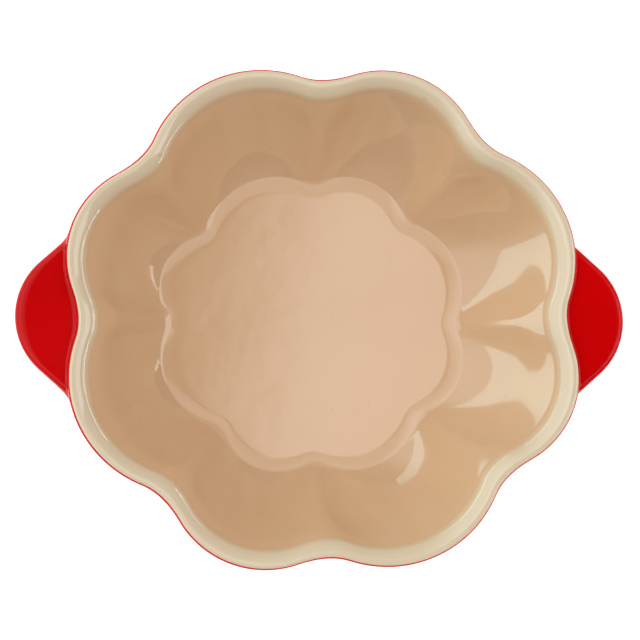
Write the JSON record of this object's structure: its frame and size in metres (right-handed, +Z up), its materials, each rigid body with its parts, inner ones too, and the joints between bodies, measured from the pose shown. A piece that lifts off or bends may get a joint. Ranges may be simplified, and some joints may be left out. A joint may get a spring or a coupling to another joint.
{
  "type": "pumpkin cocotte",
  "caption": "Open lobed oven dish shaped like the lower half of a pumpkin, cream glaze inside and over the rim, red glaze outside, with a solid wing lug at each end for lifting.",
  "frame": {"origin": "middle of the foot ring's resting plane", "axes": "+X along the lugs, towards the right lug as the picture shows it; +Z up out of the open mouth; +Y away from the bottom of the picture"},
  "size_m": [0.2592, 0.2112, 0.0509],
  "materials": {
    "stoneware": "bare fired clay, matt",
    "slip": "bare fired slip, matt",
    "cream_glaze": "glossy",
    "red_glaze": "glossy"
  },
  "bodies": {
    "root": {"stoneware_bowl": "stoneware", "left_handle": "stoneware", "right_handle": "stoneware", "left_luting_seam": "slip", "right_luting_seam": "slip", "interior_glaze": "cream_glaze", "exterior_glaze": "red_glaze", "base_glaze": "red_glaze"}
  },
  "joints": []
}
